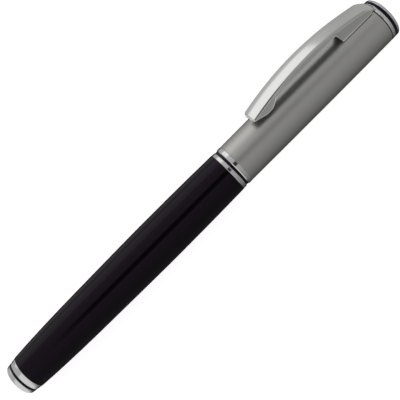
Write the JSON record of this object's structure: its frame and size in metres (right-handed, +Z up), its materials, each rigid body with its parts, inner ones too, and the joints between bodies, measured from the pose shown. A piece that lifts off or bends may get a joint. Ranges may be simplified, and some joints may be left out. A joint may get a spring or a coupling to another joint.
{
  "type": "rollerball pen",
  "caption": "Capped rollerball pen with a lacquered barrel, satin metal cap, sprung clip, screw-in writing section and spring-held refill.",
  "frame": {"origin": "under the middle of the closed pen, on the surface that its barrel lies on", "axes": "+X along the pen towards the top of its cap, +Z up through the clip, +Y across"},
  "size_m": [0.138, 0.0128, 0.0181],
  "materials": {
    "cap_satin": "satin silver plating",
    "clip_satin": "fine satin, brighter than the cap",
    "chrome_trim": "polished",
    "barrel_lacquer": "gloss black lacquer",
    "black_trim": "gloss black",
    "turned_brass": "machined",
    "grip_plastic": "fine matt black",
    "liner_plastic": "moulded, natural sheen",
    "refill_shell": "moulded",
    "ink_fibre": "bundled polyester fibre soaked with ink",
    "wick_fibre": "bonded fibre rod",
    "point_metal": "turned nickel silver",
    "ball_carbide": "ground",
    "spring_steel": "drawn wire"
  },
  "bodies": {
    "barrel": {"barrel_tube": "barrel_lacquer", "barrel_front_ring": "chrome_trim", "barrel_thread_bush": "turned_brass", "tail_ring": "chrome_trim", "tail_black_ring": "black_trim", "tail_finial": "chrome_trim", "tail_bush": "turned_brass", "refill_spring": "spring_steel"},
    "spacer_ring": {"barrel_black_ring": "black_trim"},
    "section": {"grip_section": "grip_plastic", "section_thread_bush": "turned_brass", "section_nose_cone": "chrome_trim"},
    "refill": {"refill_end_plug": "refill_shell", "refill_tube": "refill_shell", "refill_ink_fibre": "ink_fibre", "refill_wick": "wick_fibre", "refill_collar": "refill_shell", "refill_tip": "point_metal"},
    "ball": {"refill_ball": "ball_carbide"},
    "clutch_ring": {"cap_clutch_ring": "spring_steel"},
    "cap": {"cap_tube": "cap_satin", "cap_lip_ring": "chrome_trim", "inner_cap": "liner_plastic", "cap_top_bush": "turned_brass", "clip_ring": "clip_satin", "cap_black_ring": "black_trim", "cap_finial": "chrome_trim"},
    "clip": {"clip_arm": "clip_satin"}
  },
  "joints": [
    {"name": "section_advance", "type": "slide", "parent": "barrel", "child": "spacer_ring", "axis": [1, 0, 0], "range_m": [0, 0.006]},
    {"name": "section_turn", "type": "hinge", "parent": "spacer_ring", "child": "section", "pos_m": [0.01195, 0, 0.00644], "axis": [1, 0, 0], "range_deg": [0, 2880]},
    {"name": "refill_press", "type": "slide", "parent": "section", "child": "refill", "axis": [-1, 0, 0], "range_m": [0, 0.002], "stiffness_N_per_m": 150, "springref_m": -0.004, "deforming": ["refill_spring"]},
    {"name": "ball_roll", "type": "hinge", "parent": "refill", "child": "ball", "pos_m": [0.05565, 0, 0.00644], "axis": [0, 1, 0], "continuous": true},
    {"name": "cap_turn", "type": "hinge", "parent": "section", "child": "clutch_ring", "pos_m": [0.0185, 0, 0.00644], "axis": [1, 0, 0], "continuous": true},
    {"name": "cap_pull", "type": "slide", "parent": "clutch_ring", "child": "cap", "axis": [1, 0, 0], "range_m": [0, 0.046]},
    {"name": "clip_flex", "type": "hinge", "parent": "cap", "child": "clip", "pos_m": [0.0664, 0, 0.01391], "axis": [0, 1, 0], "range_deg": [0, 4], "stiffness_Nm_per_rad": 4.9}
  ],
  "couplings": [
    {"joint": "section_turn", "follows": "section_advance", "rad_per_m": 8377.6}
  ]
}
